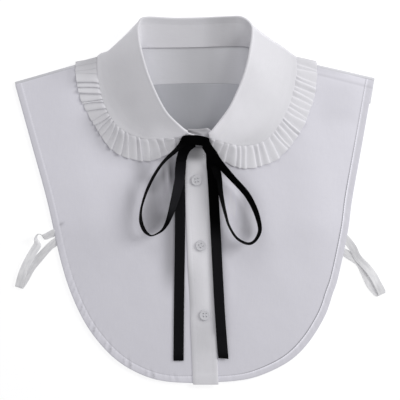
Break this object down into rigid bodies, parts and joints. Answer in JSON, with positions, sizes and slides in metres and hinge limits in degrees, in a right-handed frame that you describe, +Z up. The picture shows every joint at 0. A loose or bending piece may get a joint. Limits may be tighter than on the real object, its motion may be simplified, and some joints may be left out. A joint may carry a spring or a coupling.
{
  "type": "false collar",
  "caption": "Sleeveless half blouse laid flat: rounded collar with a pleated ruffle, button placket, black ribbon bow and side tapes.",
  "frame": {"origin": "middle of the bounding box, on the table that the collar lies on", "axes": "+Z up off the table, +Y towards the back of the neck, +X towards the right of the laid-out front as seen from above"},
  "size_m": [0.3888, 0.3851, 0.0281],
  "materials": {
    "poplin": "matt white cotton and polyester poplin",
    "tape": "matt white woven tape",
    "ribbon": "black satin",
    "button": "white resin, half gloss"
  },
  "bodies": {
    "root": {"back_panel": "poplin", "back_yoke": "poplin", "front_panel_left": "poplin", "front_panel_right": "poplin", "button_placket": "poplin", "collar_stand": "poplin", "collar_leaf": "poplin", "collar_ruffle": "poplin", "strap_left": "tape", "strap_right": "tape", "bow_knot": "ribbon", "bow_loop_left": "ribbon", "bow_loop_right": "ribbon", "bow_tail_left": "ribbon", "bow_tail_right": "ribbon", "button_1": "button", "button_2": "button", "button_3": "button"}
  },
  "joints": []
}
